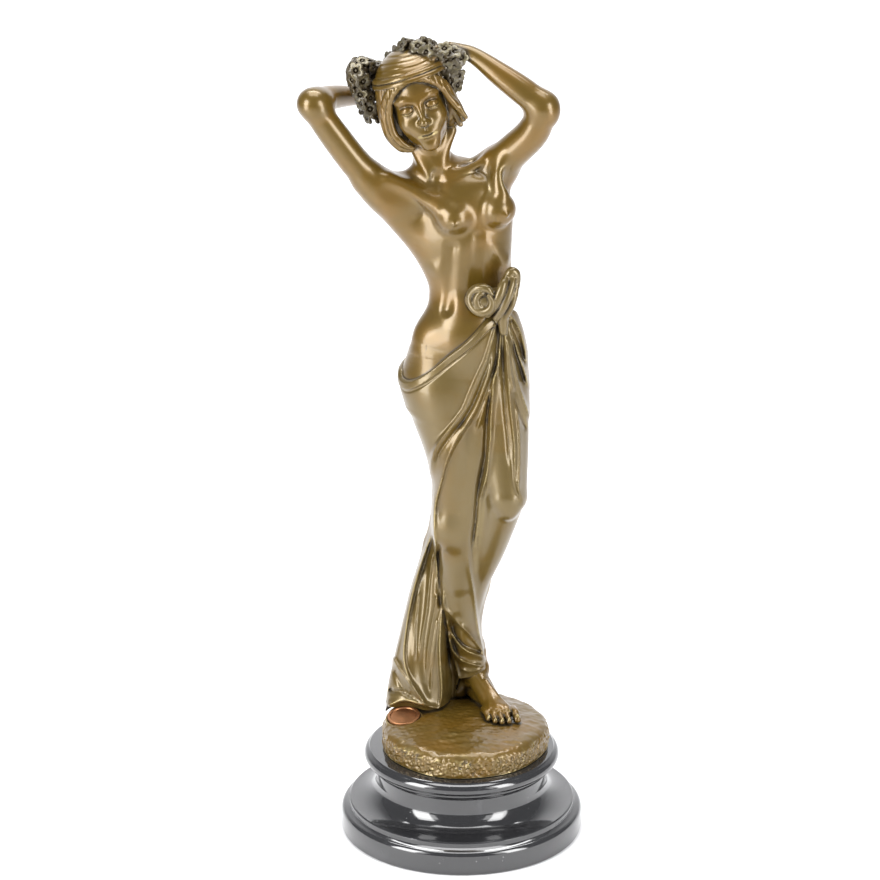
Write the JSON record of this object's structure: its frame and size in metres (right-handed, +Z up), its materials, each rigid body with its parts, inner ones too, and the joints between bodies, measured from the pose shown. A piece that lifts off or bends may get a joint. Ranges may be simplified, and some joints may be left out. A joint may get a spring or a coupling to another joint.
{
  "type": "figure sculpture",
  "caption": "Standing draped girl in patinated bronze, arms raised to a flower garland behind her head, on a low rock ground and a turned dark marble base.",
  "frame": {"origin": "centre of the marble base's underside", "axes": "+Z up; the figure's front faces -Y; +X is towards the viewer's right"},
  "size_m": [0.1437, 0.125, 0.4187],
  "materials": {
    "marble": null,
    "bronze": "glossy golden-brown patinated bronze, darker and greener in the hollows",
    "copper": "satin copper-pink metal"
  },
  "bodies": {
    "root": {"marble_base": "marble", "bronze_figure": "bronze", "seal_disc": "copper"}
  },
  "joints": []
}
